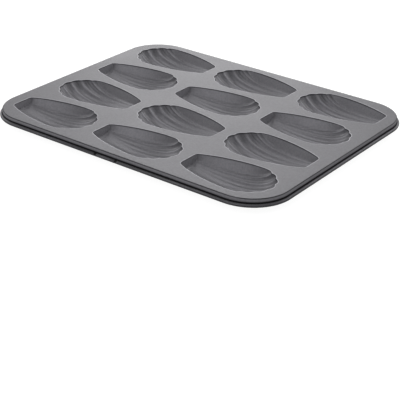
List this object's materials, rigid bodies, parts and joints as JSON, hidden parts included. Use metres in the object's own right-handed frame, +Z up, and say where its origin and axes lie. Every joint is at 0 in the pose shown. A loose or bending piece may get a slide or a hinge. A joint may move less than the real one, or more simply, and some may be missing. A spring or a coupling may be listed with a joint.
{
  "type": "madeleine pan",
  "caption": "Flat non-stick baking pan with rows of fluted shell-shaped cups, a short skirt and a rolled rim closed over a wire.",
  "frame": {"origin": "middle of the pan on the surface it stands on, which is the level of the lowest flutes", "axes": "+X along the long side, +Y along the short side, +Z up out of the cups. The side with the wire's joint and the two small notches faces -Y."},
  "size_m": [0.28, 0.2224, 0.013],
  "materials": {
    "nonstick_coating": "satin dark grey non-stick coating on both faces of the steel sheet",
    "steel_wire": "drawn bright steel"
  },
  "bodies": {
    "root": {"pan_sheet": "nonstick_coating", "rim_wire": "steel_wire"}
  },
  "joints": []
}
